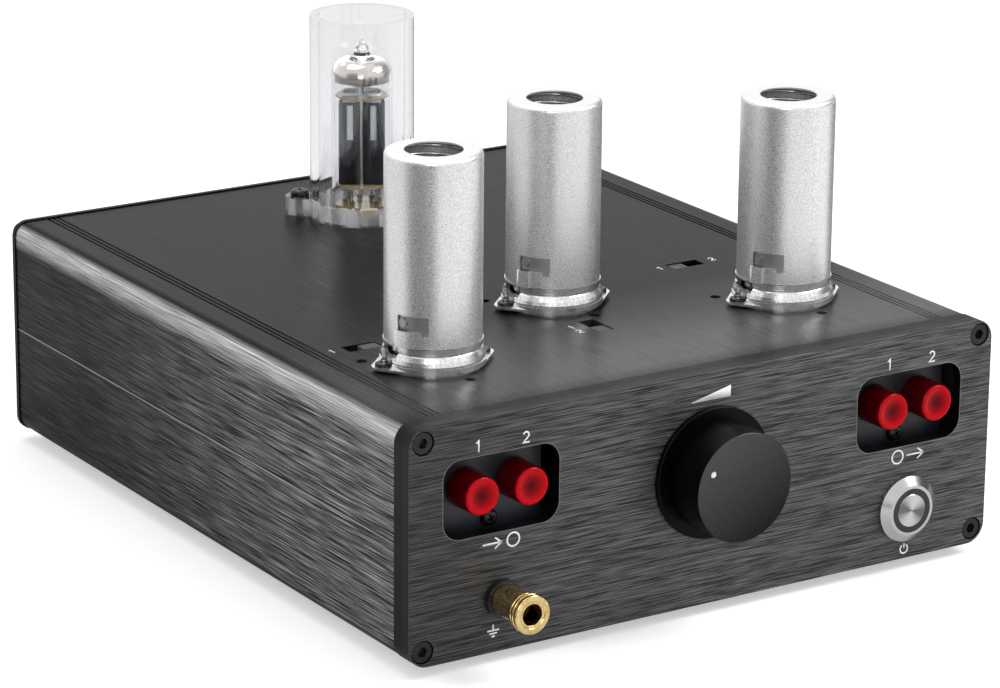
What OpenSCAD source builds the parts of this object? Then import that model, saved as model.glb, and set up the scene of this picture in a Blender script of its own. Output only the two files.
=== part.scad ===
// Valve phono preamplifier: a two-part aluminium case, three valves under bayonet shields,
// a rectifier valve in a clear cover, and its sockets and controls on the front plate.
// X runs to the right seen from the front, Y to the back and Z up. The origin is on the
// surface that the feet stand on, midway along the width and the length.
// Millimetres throughout.

/* [Case] */
// Width of the front plate
plate_w = 180; // [160:1:240]
// Height of the front plate
plate_h = 62.4; // [60:0.2:80]
// Corner radius of the front plate
plate_r = 5.5; // [4.5:0.1:8]
// Thickness of the front plate
plate_t = 3; // [2.5:0.1:5]
// Depth of the bezel ring behind the front plate
bezel_t = 4; // [3:0.5:8]
// How far the plates stand out past the case halves
plate_lip = 0.5; // [0.2:0.1:1]
// Length of the case halves
body_len = 207.5; // [190:0.5:260]
// Wall of the case halves
wall = 2.5; // [2:0.1:4]
// Thickness of the rear panel
rear_t = 1.5; // [1:0.1:3]
// Width of one decorative groove along the case
groove_w = 0.9; // [0.5:0.1:1.2]
// Distance of the grooves from the side of the case
groove_inset = 13.1; // [10:0.1:16]
// How far the board's top lies below the middle of the case
board_drop = 3.05; // [2.4:0.05:6]
// Height of the feet below the plates
foot_h = 3; // [2:0.5:8]
// Radius of a foot
foot_r = 6; // [4:0.5:9]

/* [Jacks] */
// Width of a jack window
window_w = 33.9; // [32:0.1:38]
// Height of a jack window
window_h = 20.7; // [19:0.1:24]
// Corner radius of a jack window
window_r = 5; // [3:0.1:6]
// Distance from the side of the plate to the middle of a window
window_inset = 26.8; // [25:0.1:32]
// Distance from the top of the plate to the middle of a window
window_drop = 20.5; // [18:0.1:22]
// Distance between the two jacks of a pair
jack_pitch = 14.4; // [12:0.1:17.5]
// Outside radius of a jack shell
jack_r = 4.15; // [4:0.05:4.5]
// Length of a jack shell in front of its housing
jack_len = 7.8; // [7:0.1:10]
// Radius of a dust cap at its open end
dust_cap_r = 5.25; // [5:0.05:5.6]

/* [Volume] */
// Radius of the knob
knob_r = 14.5; // [12:0.5:18]
// How far the knob's skirt stands out past the knob
skirt_reach = 3; // [1:0.5:5]
// Distance from the plate to the face of the knob
knob_proud = 14.8; // [14.7:0.1:20]
// Height of the knob's axis above the middle of the plate
knob_z = 4.5; // [0:0.1:8]
// Radius of the potentiometer shaft
shaft_r = 3; // [2.5:0.5:3]

/* [Power] */
// Radius of the switch flange
flange_r = 9; // [8.5:0.1:11]
// Radius of the switch barrel
barrel_r = 8; // [7:0.1:8]
// Radius of the push button
button_r = 4.5; // [3.5:0.1:5]
// Travel of the push button
button_travel = 2.5; // [1.5:0.1:3]
// Distance from the side of the plate to the switch and the earth post
control_inset = 26.8; // [25:0.1:32]
// Distance from the bottom of the plate to the switch and the earth post
control_rise = 14.2; // [13.5:0.1:15]

/* [Earth post] */
// Distance from the plate to the end of the thumb nut
post_proud = 14.7; // [12:0.1:14.7]
// Radius of the thumb nut at its end rings
nut_ring_r = 5.1; // [4.8:0.1:6]
// Radius of the plug bore in the post
banana_r = 2; // [1.9:0.05:2.1]

/* [Valve shields] */
// Radius of a shield can
can_r = 12.57; // [12.2:0.01:15.5]
// Wall of a shield can
can_wall = 0.4; // [0.3:0.05:0.6]
// Height of a shield can's top above the case
can_top = 56.2; // [50:0.2:70]
// Height of the collar that a can stands on
collar_h = 7.3; // [6.8:0.1:9]
// Distance from the can's wall to the axis of a lug screw
lug_reach = 1.53; // [1.45:0.01:4]
// Turn of the lugs from the case's width
lug_turn = -4.6; // [-8:0.1:8]
// Distance between the axes of neighbouring shields across the case
shield_pitch = 54.9; // [52:0.1:60]
// How far the middle shield stands off the case's middle
shield_shift = -1.3; // [-3:0.1:3]
// Distance from the plate's face to the axis of an outer shield
shield_y = 43.7; // [40:0.1:60]
// Distance from the plate's face to the axis of the middle shield
middle_y = 72.3; // [70:0.1:90]

/* [Rectifier] */
// Outside radius of the clear cover
cover_r = 14.85; // [14:0.05:18]
// Wall of the clear cover
cover_wall = 2.6; // [2:0.1:4]
// Height of the clear cover
cover_h = 58.3; // [54:0.1:75]
// Thickness of the cover's flange
cover_flange_t = 5; // [3:0.5:8]
// Distance from the cover's wall to the axis of a cover screw
cover_reach = 2.95; // [2.8:0.05:6]
// Distance from the rear face to the cover's axis
cover_rise = 42.7; // [36:0.1:60]
// Radius of the rectifier valve's glass
bulb_r = 8.65; // [8:0.05:9]
// Height of the rectifier valve's tip above the case
bulb_tip = 51.6; // [44:0.1:52]

/* [Selectors] */
// Length of a selector opening
selector_len = 10; // [8:0.1:12]
// Width of a selector opening
selector_w = 4.7; // [4:0.1:6]
// Length of the slider's grip
slider_len = 4.9; // [3:0.1:5]

/* [Fits] */
// Radial clearance of a moving fit
run_gap = 0.06; // [0.04:0.01:0.09]
// Radial clearance round a screw in its thread
thread_gap = 0.05; // [0.02:0.01:0.1]
// Gap between flat faces that move past each other
face_gap = 0.1; // [0.05:0.01:0.2]
// Radius of the case screws
screw_r = 1.5; // [1.25:0.05:1.75]

/* [Hidden] */
$fn = 64;
skin = 0.01;

// The case: y 0 is the plate's face and z 0 the middle of its height.
body_w = plate_w - 2 * plate_lip;
body_h = plate_h - 2 * plate_lip;
body_r = 4.2;
top_z = body_h / 2;
body_y = plate_t + bezel_t;
rear_y = body_y + body_len;
back_y = rear_y + rear_t;
inlet_rim = 2;
rear_lip = 0.35;
screw_inset = 4.1;
screw_places = [for (sx = [-1, 1], sz = [-1, 1])
    [sx * (plate_w / 2 - screw_inset), sz * (plate_h / 2 - screw_inset)]];
clear_r = screw_r + 0.2;
thread_r = screw_r + thread_gap;
head_r = 2.75;
head_h = 2;
counterbore_r = head_r + 0.35;
counterbore = 2.3;
screw_len = 12;

// Jacks
window_x = plate_w / 2 - window_inset;
window_z = plate_h / 2 - window_drop;
jack_z = window_z + 0.8;
housing_w = 31;
housing_top = window_z + 9.4;
housing_y = 6.3;
housing_depth = 14;
board_t = 1.6;
board_top = -board_drop;
jack_screw_z = window_z - 8.4;
jack_screw_r = 1.25;

// Controls
skirt_r = knob_r + skirt_reach;
control_x = plate_w / 2 - control_inset;
control_z = -plate_h / 2 + control_rise;
bush_r = shaft_r + 0.5;
pot_w = 16;
pot_depth = 9;
bush_len = 8;
washer_t = 2;
stud_r = banana_r + 0.7;
stud_tip = post_proud - 6.7;
banana_depth = 10;

// Valve shields
valve_places = [
    [shield_shift - shield_pitch, shield_y],
    [shield_shift, middle_y],
    [shield_shift + shield_pitch, shield_y]
];
can_inner_r = can_r - can_wall;
lug_x = can_r + lug_reach;
lug_tip_r = 3;
lug_hole_r = 1.6;
base_gap = 0.8;
plate_top = base_gap + 0.6;
// Small holes beside the shields: the shield's number and the place from its axis
test_holes = [
    [0, 1, -16.1], [1, 3.4, -15.3], [2, 1.2, -15.9], [0, -14.6, 10.8], [2, -14.5, 10.5],
    [0, 14.6, 10.6], [2, 14.6, 10.6], [1, -14.6, 10.6], [1, 14.6, 10.6]
];
collar_r = can_r + 0.35;
guide_r = can_inner_r - 0.25;
guide_wall = 0.5;
guide_h = 16.6;
slot_z = [11.8, 15.7];
slot_angle = [-77, -36.5];
detent_angle = [-45.5, -37];
detent_z = 10.6;
channel_angle = [-78, -61.5];
channel_wall = 1.5;
channel_r = can_r + 0.95;
pin_angle = -69.75;
pin_r = 1.1;
pin_z = slot_z[0] + 0.9 + pin_r;
socket_r = 9.8;
socket_rise = 3;
pin_count = 9;
pin_circle = 5.95;
glass_z = socket_rise + 0.4;
glass_r = guide_r - guide_wall - 0.6;
glass_wall = 0.8;
glass_tip = can_top - 4;
shoulder_r = 6;

// Rectifier
cover_y = back_y - cover_rise;
cover_turn = -36;
cover_bore_r = cover_r - cover_wall;
cover_lug = cover_r + cover_reach;
cover_lug_r = 4.2;
rect_socket_r = 8.6;
rect_socket_rise = 1.5;
rect_pins = 7;
rect_pin_circle = 4.76;
rect_glass_z = rect_socket_rise + 0.9;
bulb_top = bulb_tip - 5.2;
mica_z = [9.3, bulb_tip - 16.4];
anode_z = [10.1, bulb_tip - 17.7];

// Selectors: place, and the turn that takes the slider's travel from +X
selectors = [
    [-(body_w / 2 - 25), 65, 180],
    [-2.7, middle_y - 23, 90],
    [body_w / 2 - 39.8, 83.7, 0]
];
selector_pit = 1.2;
selector_h = 6;
slider_gap = 0.1;

// ---------------------------------------------------------------- placing and profiles

// From the case's own zero to the origin between the feet.
module in_frame() {
    front_reach = max(knob_proud, post_proud);
    translate([0, (front_reach - back_y - inlet_rim) / 2, plate_h / 2 + foot_h]) children();
}

// A place on the front plate: local Z points out of the face.
module on_front(x, z) translate([x, 0, z]) rotate([90, 0, 0]) children();

// A place on the rear panel: local Z points out of the back.
module on_rear(x, z) translate([x, back_y, z]) rotate([-90, 0, 0]) children();

// A place on the top of the case: local Z points up.
module on_top(p) translate([p[0], p[1], top_z]) children();

// Extrudes an outline drawn in X and Z from one y to another.
module along_y(from, to) translate([0, to, 0]) rotate([90, 0, 0]) linear_extrude(to - from) children();

module rounded_rect(w, h, r) {
    square([w - 2 * r, h], center = true);
    square([w, h - 2 * r], center = true);
    for (sx = [-1, 1], sy = [-1, 1])
        translate([sx * (w / 2 - r), sy * (h / 2 - r)]) circle(r);
}

// Half outline of a round part with a rounded top edge.
module rounded_top(r, bottom, top, edge) {
    translate([0, bottom]) square([r, top - edge - bottom]);
    translate([0, top - edge - skin]) square([r - edge, edge + skin]);
    intersection() {
        translate([r - edge, top - edge]) circle(edge);
        translate([0, bottom]) square([r, top - bottom]);
    }
}

module tube(outer, inner, bottom, top) translate([0, 0, bottom]) difference() {
    cylinder(r = outer, h = top - bottom);
    translate([0, 0, -skin]) cylinder(r = inner, h = top - bottom + 2 * skin);
}

module rod(r, bottom, top) translate([0, 0, bottom]) cylinder(r = r, h = top - bottom);

// A ring sector between two angles, counted from the front (-Y) with -X negative.
module sector(outer, inner, angles, zs) {
    rotate([0, 0, -90 + angles[0]])
        rotate_extrude(angle = angles[1] - angles[0])
            translate([inner, zs[0]]) square([outer - inner, zs[1] - zs[0]]);
}

// A screw with a round head; local z 0 is under the head.
module pan_screw(r, head, height, length) difference() {
    union() {
        rotate_extrude() rounded_top(head, 0, height, height * 0.6);
        rod(r, -length, skin);
    }
    for (a = [0, 90]) rotate([0, 0, a + 20]) translate([0, 0, height])
        cube([head * 1.1, 0.5, height], center = true);
}

// A cap screw with a hexagon socket; local z 0 is the top of the head.
module socket_screw() difference() {
    union() {
        rod(head_r, -head_h, 0);
        rod(screw_r, -head_h - screw_len, -head_h + skin);
    }
    translate([0, 0, -1.3]) cylinder(r = 1.44, h = 2, $fn = 6);
}

module hex_nut(across, bore, height) difference() {
    cylinder(r = across / sqrt(3), h = height, $fn = 6);
    translate([0, 0, -skin]) cylinder(r = bore, h = height + 2 * skin);
}

// ---------------------------------------------------------------- case

module case_section() difference() {
    union() {
        difference() {
            rounded_rect(body_w, body_h, body_r);
            rounded_rect(body_w - 2 * wall, body_h - 2 * wall, body_r - min(wall, body_r - 1));
        }
        intersection() {
            rounded_rect(body_w, body_h, body_r);
            for (p = screw_places) translate(p) circle(screw_r + 1.8);
        }
    }
    for (p = screw_places) translate(p) circle(thread_r);
    for (sx = [-1, 1], i = [0:2]) translate([sx * (body_w / 2 - groove_inset + 1.5 * i), top_z])
        polygon([[-groove_w / 2, 0.1], [groove_w / 2, 0.1], [0, -0.7]]);
    for (sx = [-1, 1]) translate([sx * body_w / 2, 0])
        polygon([[0.1, -0.35], [0.1, 0.35], [-0.35, 0]]);
}

module upper_half() intersection() {
    union() {
        case_section();
        children();
    }
    translate([-body_w, 0]) square([2 * body_w, body_h]);
}

module seam(width, height) for (sx = [-1, 1])
    translate([sx * (body_w / 2 - wall / 2) - width / 2, -0.5]) square([width, height + 0.5]);

module top_shell() color("dimgray") difference() {
    along_y(body_y, rear_y) difference() {
        upper_half();
        seam(0.9, 1.7);
    }
    for (n = [0:2]) at_valve(n) {
        rod(socket_r + 0.4, -wall - 1, 1);
        at_lugs() rod(clear_r, -wall - 1, 1);
    }
    for (q = test_holes) at_valve(q[0]) translate([q[1], q[2]]) rod(1.4, -wall - 1, 1);
    on_top([0, cover_y]) {
        rod(rect_socket_r + 0.4, -wall - 1, 1);
        for (sx = [-1, 1]) rotate([0, 0, cover_turn]) translate([sx * cover_lug, 0, 0])
            rod(clear_r, -wall - 1, 1);
    }
    for (s = selectors) on_top(s) rotate([0, 0, s[2]]) translate([0, 0, -wall / 2])
        cube([selector_len, selector_w, 2 * wall], center = true);
}

module bottom_shell() color("dimgray") along_y(body_y, rear_y) {
    rail = 1.4;
    slot = board_t + 0.2;
    mirror([0, 1]) upper_half();
    translate([0, -0.5]) intersection() {
        seam(0.7, 2);
        translate([-body_w, 0.5 - skin]) square([2 * body_w, 1.5]);
    }
    for (sx = [-1, 1], z = [board_top + 0.1, board_top + 0.1 - slot - rail])
        translate([sx * (body_w / 2 - wall - 1.2), z + rail / 2]) square([2.6, rail], center = true);
}

module front_bezel() color("black") along_y(plate_t, body_y) difference() {
    union() {
        difference() {
            rounded_rect(plate_w, plate_h, plate_r);
            rounded_rect(body_w - 2 * wall, body_h - 2 * wall, body_r - min(wall, body_r - 1));
        }
        intersection() {
            rounded_rect(plate_w, plate_h, plate_r);
            for (p = screw_places) translate(p) circle(screw_r + 1.8);
        }
    }
    for (p = screw_places) translate(p) circle(clear_r);
}

module front_panel() color("#454545") difference() {
    along_y(0, plate_t) difference() {
        rounded_rect(plate_w, plate_h, plate_r);
        for (sx = [-1, 1]) translate([sx * window_x, window_z]) rounded_rect(window_w, window_h, window_r);
        translate([0, knob_z]) circle(bush_r + 0.1);
        translate([control_x, control_z]) circle(barrel_r + 0.1);
        translate([-control_x, control_z]) circle(stud_r + 1);
        for (p = screw_places) translate(p) circle(clear_r);
    }
    for (p = screw_places) on_front(p[0], p[1]) rod(counterbore_r, -counterbore, 1);
}

module rear_panel() color("#454545") difference() {
    along_y(rear_y, back_y) rounded_rect(body_w + 2 * rear_lip, body_h + 2 * rear_lip, body_r + rear_lip);
    for (p = screw_places) on_rear(p[0], p[1]) rod(clear_r, -rear_t - 1, 1);
    on_rear(window_x, control_z) rod(5.6, -rear_t - 1, 1);
}

module front_screws() color("#303030")
    for (p = screw_places) on_front(p[0], p[1]) translate([0, 0, head_h - counterbore]) socket_screw();

module rear_screws() color("#303030")
    for (p = screw_places) on_rear(p[0], p[1]) translate([0, 0, head_h]) socket_screw();

module rubber_feet() color("#181818") for (sx = [-1, 1], y = [body_y + 18, rear_y - 23])
    translate([sx * (body_w / 2 - 22), y, -plate_h / 2 - foot_h])
        cylinder(r1 = foot_r - 0.5, r2 = foot_r, h = foot_h + plate_lip);

module main_board() color("darkgreen") difference() {
    board_w = body_w - 2 * wall - 0.4;
    translate([-board_w / 2, body_y + 1, board_top - board_t])
        cube([board_w, body_len - 6, board_t]);
    translate([-pot_w / 2 - 3, 0, board_top - 5]) cube([pot_w + 6, plate_t + pot_depth + 16, 10]);
}

module filter_capacitors() color("navy") for (x = [-52, -30, 52])
    translate([x, rear_y - 62, board_top]) rotate_extrude() rounded_top(9, 0, 26, 1);

// ---------------------------------------------------------------- jacks

module at_jacks(side) for (sx = [-1, 1])
    on_front(side * window_x + sx * jack_pitch / 2, jack_z) children();

module jack_block(side) color("#20242c") difference() {
    core_r = jack_r - 0.9;
    union() {
        translate([side * window_x - housing_w / 2, housing_y, board_top])
            cube([housing_w, housing_depth, housing_top - board_top]);
        at_jacks(side) rod(core_r, -housing_y - skin, jack_len - housing_y - 0.6);
    }
    at_jacks(side) {
        tube(jack_r + 0.05, core_r, -housing_y - 4, -housing_y + skin);
        rod(1.65, -housing_y - 4, jack_len);
    }
    on_front(side * window_x, jack_screw_z) rod(jack_screw_r + thread_gap, -housing_y - 9, 1);
}

module jack_shells() color("silver") for (side = [-1, 1])
    at_jacks(side) tube(jack_r, jack_r - 0.85, -housing_y - 3.9, jack_len - housing_y);

module jack_screws() color("black") for (side = [-1, 1])
    on_front(side * window_x, jack_screw_z) translate([0, 0, -housing_y])
        pan_screw(jack_screw_r, 2.25, 1.6, 8);

module dust_cap(n) {
    side = n < 2 ? -1 : 1;
    sx = n % 2 == 0 ? -1 : 1;
    front = jack_len - housing_y + 1.3;
    back = -housing_y + 0.3;
    face_r = dust_cap_r - 0.3;
    bore_r = jack_r + run_gap;
    color("crimson") on_front(side * window_x + sx * jack_pitch / 2, jack_z) rotate_extrude() polygon([
        [0, front - 0.6], [face_r - 1.3, front - 0.6], [face_r - 0.9, front], [face_r - 0.25, front],
        [face_r, front - 0.25], [dust_cap_r, back], [bore_r, back],
        [bore_r, jack_len - housing_y + face_gap], [0, jack_len - housing_y + face_gap]
    ]);
}

// ---------------------------------------------------------------- volume control

// Round shaft with a flat underneath, as an outline.
module d_outline(r) difference() {
    circle(r);
    translate([-r, -2 * r - r / 2]) square([2 * r, 2 * r]);
}

module volume_knob() color("#2a2a2a") on_front(0, knob_z) difference() {
    grub_z = knob_proud - 6;
    shaft_seat = bush_len - plate_t + 0.4;
    union() {
        rotate_extrude() rounded_top(knob_r, 0.9, knob_proud, 0.5);
        rotate_extrude() rounded_top(skirt_r, 0.4, 1.6, 0.4);
    }
    rod(bush_r + 4, 0, shaft_seat);
    translate([0, 0, shaft_seat - 1]) linear_extrude(knob_proud - 1 - shaft_seat) d_outline(shaft_r + 0.05);
    translate([-9.64, 5.15, 0]) rod(1, knob_proud - 0.4, knob_proud + 1);
    translate([0, 0, grub_z]) rotate([90, 0, 0]) rod(thread_r, 0, knob_r + 1);
}

module knob_grub_screw() color("#303030") on_front(0, knob_z)
    translate([0, 0, knob_proud - 6]) rotate([90, 0, 0]) difference() {
        rod(screw_r, shaft_r / 2 + 0.06, shaft_r + 6);
        translate([0, 0, shaft_r + 4.5]) cylinder(r = 0.9, h = 3, $fn = 6);
    }

module pot_shaft() color("silver") on_front(0, knob_z) difference() {
    rod(shaft_r, -plate_t - pot_depth + 1, knob_proud - 2.5);
    translate([-shaft_r, -2.5 * shaft_r, bush_len - plate_t]) cube([2 * shaft_r, 2 * shaft_r, knob_proud]);
}

module pot_body() color("darkslateblue") on_front(0, knob_z) difference() {
    union() {
        translate([-pot_w / 2, -pot_w / 2, -plate_t - pot_depth]) cube([pot_w, pot_w, pot_depth]);
        rod(bush_r, -plate_t - skin, bush_len - plate_t);
    }
    rod(shaft_r + run_gap, -plate_t - pot_depth + 0.8, bush_len);
}

module panel_nuts() color("silver") {
    on_front(0, knob_z) hex_nut(10, bush_r + thread_gap, 2);
    on_front(control_x, control_z) translate([0, 0, -plate_t - 2.5]) hex_nut(18, barrel_r + thread_gap, 2.5);
    on_front(-control_x, control_z) translate([0, 0, -plate_t - 4]) hex_nut(8, stud_r + thread_gap, 2.5);
    on_rear(window_x, control_z) translate([0, 0, -rear_t - 2.5]) hex_nut(14, 5.5 + thread_gap, 2.5);
}

// ---------------------------------------------------------------- power switch

switch_face = 2.8;
lens_r = 6;
lens_depth = 6;

module power_switch_body() color("silver") on_front(control_x, control_z) difference() {
    union() {
        rotate_extrude() polygon([[0, 0], [flange_r, 0], [flange_r, 1.15],
            [lens_r + 0.9, switch_face], [0, switch_face]]);
        rod(barrel_r, -21, skin);
        rod(barrel_r - 1, -27, -20);
    }
    rod(lens_r + 0.05, switch_face - lens_depth, switch_face + 1);
    rod(button_r + 0.5, -10, 0);
}

module power_light_ring() color("#282828") on_front(control_x, control_z)
    tube(lens_r, button_r + run_gap, switch_face - lens_depth, switch_face - 0.1);

module power_button() color("silver") on_front(control_x, control_z) {
    rotate_extrude() rounded_top(button_r, -4.5, switch_face + 0.1, 0.3);
    rod(2, -10 + button_travel + 0.3, -4.4);
}

// ---------------------------------------------------------------- earth post

module at_post() on_front(-control_x, control_z) children();

module earth_washer() color("black") at_post() {
    tube(4.9, stud_r + thread_gap, 0, washer_t);
    tube(stud_r + 0.9, stud_r + thread_gap, -plate_t - skin, skin);
    tube(4.9, stud_r + thread_gap, -plate_t - 1.5, -plate_t);
}

module earth_post() color("gold") at_post() difference() {
    rod(stud_r, -plate_t - 9, stud_tip);
    rod(banana_r, stud_tip - banana_depth, stud_tip + 1);
}

module earth_thumb_nut() color("gold") at_post() difference() {
    rings = [[0, 1.2], [1.7, 2.6], [3.0, 4.1]];
    union() {
        rotate_extrude() rounded_top(4.2, washer_t + face_gap, post_proud - 1, 0.3);
        for (band = rings) rod(nut_ring_r - (band[0] == 0 ? 0.25 : 0),
            post_proud - 4.1 + band[0], post_proud - 4.1 + band[1]);
    }
    rod(stud_r + run_gap, 0, post_proud + 1);
}

module power_inlet() color("#202020") on_rear(window_x, control_z) {
    tube(5.5, 2.9, -rear_t - 7, skin);
    tube(7, 2.9, 0, inlet_rim);
    rod(5.5, -rear_t - 12, -rear_t - 7);
    rod(1, -rear_t - 7.5, 0.5);
}

// ---------------------------------------------------------------- valve shields

module lugs(reach, r, thick) linear_extrude(thick) {
    square([2 * reach, 2 * r], center = true);
    for (sx = [-1, 1]) translate([sx * reach, 0]) circle(r);
}

module at_valve(n) on_top(valve_places[n]) children();

module at_lugs() for (sx = [-1, 1]) rotate([0, 0, lug_turn]) translate([sx * lug_x, 0, 0]) children();

// Outline of a round plate whose sides run straight to a rounded tip at each end.
module pointed_plate(r, tip_x, tip_r) {
    a = acos((r - tip_r) / tip_x);
    circle(r);
    for (sx = [-1, 1]) {
        translate([sx * tip_x, 0]) circle(tip_r);
        polygon([
            [sx * r * cos(a), r * sin(a)], [sx * (tip_x + tip_r * cos(a)), tip_r * sin(a)],
            [sx * (tip_x + tip_r * cos(a)), -tip_r * sin(a)], [sx * r * cos(a), -r * sin(a)]
        ]);
    }
}

// The pressed plate and the drawn collar above it, with room round the heads of the lug screws.
module base_collar() difference() {
    inside = guide_r - skin;
    union() {
        translate([0, 0, base_gap]) linear_extrude(plate_top - base_gap) difference() {
            rotate(lug_turn) pointed_plate(collar_r + 0.6, lug_x, lug_tip_r);
            circle(inside);
        }
        rotate_extrude() translate([collar_r, 0]) polygon([
            [inside - collar_r, base_gap + 0.2], [0.68, base_gap + 0.2], [0.68, 2.25],
            [0.33, 2.45], [0.33, 2.75], [0.6, 2.95], [0.4, 3.9], [-0.15, 5.1], [-0.45, 5.4],
            [-0.45, 5.75], [-0.1, 6.05], [-0.1, collar_h], [inside - collar_r, collar_h]
        ]);
    }
    at_lugs() rod(lug_tip_r + 0.2, plate_top, 4.1);
}

module shield_base() color("silver") difference() {
    union() {
        base_collar();
        tube(guide_r, guide_r - guide_wall, 0, guide_h);
        tube(guide_r + 0.5, guide_r - skin, 0, base_gap + skin);
        for (turn = [0, 180]) rotate([0, 0, pin_angle + turn]) translate([0, -guide_r + 0.3, pin_z])
            rotate([90, 0, 0]) cylinder(r = pin_r, h = can_r - guide_r + 0.3);
    }
    at_lugs() {
        rod(lug_hole_r, -1, 4);
        translate([0, 0, 5.5]) cube([7.4, 8.2, 2.8], center = true);
    }
}

module shield_can() color("silver") {
    bottom = collar_h + face_gap;
    mouth_r = 7.5;
    edge = 1.2;
    inner_channel_r = channel_r - can_wall;
    side = [channel_angle[0] + channel_wall, channel_angle[1] - channel_wall];
    difference() {
        union() {
            rotate_extrude() difference() {
                rounded_top(can_r, bottom - 1, can_top, edge);
                rounded_top(can_inner_r, bottom - 2, can_top - can_wall, edge - can_wall);
                translate([0, can_top - 2]) square([mouth_r, 4]);
            }
            for (turn = [0, 180]) rotate([0, 0, turn])
                sector(channel_r, can_r - can_wall / 2, channel_angle, [bottom - 0.5, slot_z[0]]);
        }
        for (turn = [0, 180]) rotate([0, 0, turn]) {
            sector(inner_channel_r, can_inner_r - 0.3, side, [bottom - 2, slot_z[0] + skin]);
            sector(channel_r + 1, can_inner_r - 0.3, slot_angle, slot_z);
            sector(channel_r + 1, can_inner_r - 0.3, detent_angle, [detent_z, slot_z[0] + skin]);
        }
        rod(channel_r + 1, bottom - 3, bottom);
    }
}

// Conical coil of round wire, as rings of points along the helix.
module coil(turns, radii, heights, wire_r) {
    steps = 20 * turns;
    sides = 6;
    rings = [for (i = [0:steps]) let (t = i / steps, a = 360 * turns * t,
        r = radii[0] + (radii[1] - radii[0]) * t, z = heights[0] + (heights[1] - heights[0]) * t)
        for (k = [0:sides - 1]) let (b = 360 * k / sides)
            [(r + wire_r * cos(b)) * cos(a), (r + wire_r * cos(b)) * sin(a), z + wire_r * sin(b)]];
    walls = [for (i = [0:steps - 1], k = [0:sides - 1]) let (n = (k + 1) % sides)
        [i * sides + k, i * sides + n, (i + 1) * sides + n, (i + 1) * sides + k]];
    ends = [[for (k = [sides - 1:-1:0]) k], [for (k = [0:sides - 1]) steps * sides + k]];
    polyhedron(rings, concat(walls, ends));
}

module shield_spring() color("silver")
    coil(3.5, [6, can_inner_r - 1.8], [glass_tip - 3.6, can_top - can_wall - 0.5], 0.4);

module valve_socket() color("ivory") difference() {
    union() {
        rod(socket_r, -wall - 6, socket_rise);
        rotate([0, 0, lug_turn]) translate([0, 0, -wall - 1.2]) lugs(lug_x, lug_tip_r, 1.2);
        rod(socket_r + 1.4, -wall - 1.2, -wall);
    }
    for (i = [0:pin_count - 1]) rotate([0, 0, 18 + 36 * i]) translate([0, -pin_circle, 0])
        rod(0.6, -wall - 7, socket_rise + 1);
    at_lugs() rod(thread_r - 0.2, -wall - 2, 0);
}

module glass_bulb(r, bottom, top, tip, shoulder, tip_r) color("white", 0.4) difference() {
    rotate_extrude() {
        rounded_top(r, bottom, top, shoulder);
        rounded_top(tip_r, top - 2, tip, tip_r - 0.2);
    }
    rotate_extrude() rounded_top(r - glass_wall, bottom - 1, top - glass_wall, shoulder - glass_wall);
}

module pins(count, pitch, circle_r, r, bottom, top) for (i = [0:count - 1])
    rotate([0, 0, pitch / 2 + pitch * i]) translate([0, -circle_r, 0]) rod(r, bottom, top);

module valve_bulb() glass_bulb(glass_r, glass_z, glass_tip - 4, glass_tip, shoulder_r, 2.2);

module valve_core() color("#505050") {
    inner_r = glass_r - glass_wall - 0.05;
    rod(inner_r, glass_z, glass_z + 2);
    pins(pin_count, 36, pin_circle, 0.5, glass_z - 6.5, glass_z + skin);
    for (sx = [-1, 1]) translate([sx * 4.6, 0, 0]) rod(0.5, glass_z + 1.9, glass_z + 8);
    rod(inner_r - 0.3, glass_z + 8, glass_z + 8.6);
    for (sx = [-1, 1]) translate([sx * 4.4, 0, 0]) rod(3.6, glass_z + 8.6 - skin, glass_z + 29);
    rod(inner_r - 0.3, glass_z + 29 - skin, glass_z + 29.6);
}

module socket_screws() color("#202020") for (n = [0:2]) at_valve(n) at_lugs()
    translate([0, 0, plate_top]) pan_screw(thread_r - 0.25, 2.15, 0.9, 5.9);

// ---------------------------------------------------------------- rectifier

module at_rectifier() on_top([0, cover_y]) children();

module rectifier_socket() color("ivory") at_rectifier() difference() {
    union() {
        rod(rect_socket_r, -wall - 5, rect_socket_rise);
        rotate([0, 0, cover_turn]) translate([0, 0, -wall - 1.2]) lugs(cover_lug, 3.6, 1.2);
        rod(rect_socket_r + 1.4, -wall - 1.2, -wall);
    }
    pins(rect_pins, 45, rect_pin_circle, 0.5 + run_gap, -wall - 6, rect_socket_rise + 1);
    for (sx = [-1, 1]) rotate([0, 0, cover_turn]) translate([sx * cover_lug, 0, 0])
        rod(thread_r, -wall - 2, 0);
}

module rectifier_stem() color("#a07030", 0.7) at_rectifier() difference() {
    union() {
        rod(bulb_r - glass_wall - 0.05, rect_glass_z, rect_glass_z + 1.6);
        pins(rect_pins, 45, rect_pin_circle, 0.9, rect_glass_z + 1.5, rect_glass_z + 2.8);
    }
    pins(rect_pins, 45, rect_pin_circle, 0.52, rect_glass_z - 1, rect_glass_z + 4);
}

module rectifier_electrodes() color("#404040") at_rectifier() {
    pins(rect_pins, 45, rect_pin_circle, 0.5, rect_glass_z - 6.5, 8.9);
    difference() {
        for (sx = [-1, 1]) translate([sx * 3.5, 0, anode_z[0]]) linear_extrude(anode_z[1] - anode_z[0])
            rounded_rect(6.6, 8, 2);
        for (sx = [-1, 1]) translate([sx * 3.5, 0, 0]) {
            rod(2.2, anode_z[0] - 1, anode_z[1] + 1);
            translate([-0.95, -5, anode_z[1] - 11]) cube([1.9, 10, 10.3]);
        }
    }
    for (sx = [-1, 1]) translate([sx * 3.5, 0, 0]) rod(0.8, anode_z[0] - 2, anode_z[1] + 2.6);
}

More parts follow.
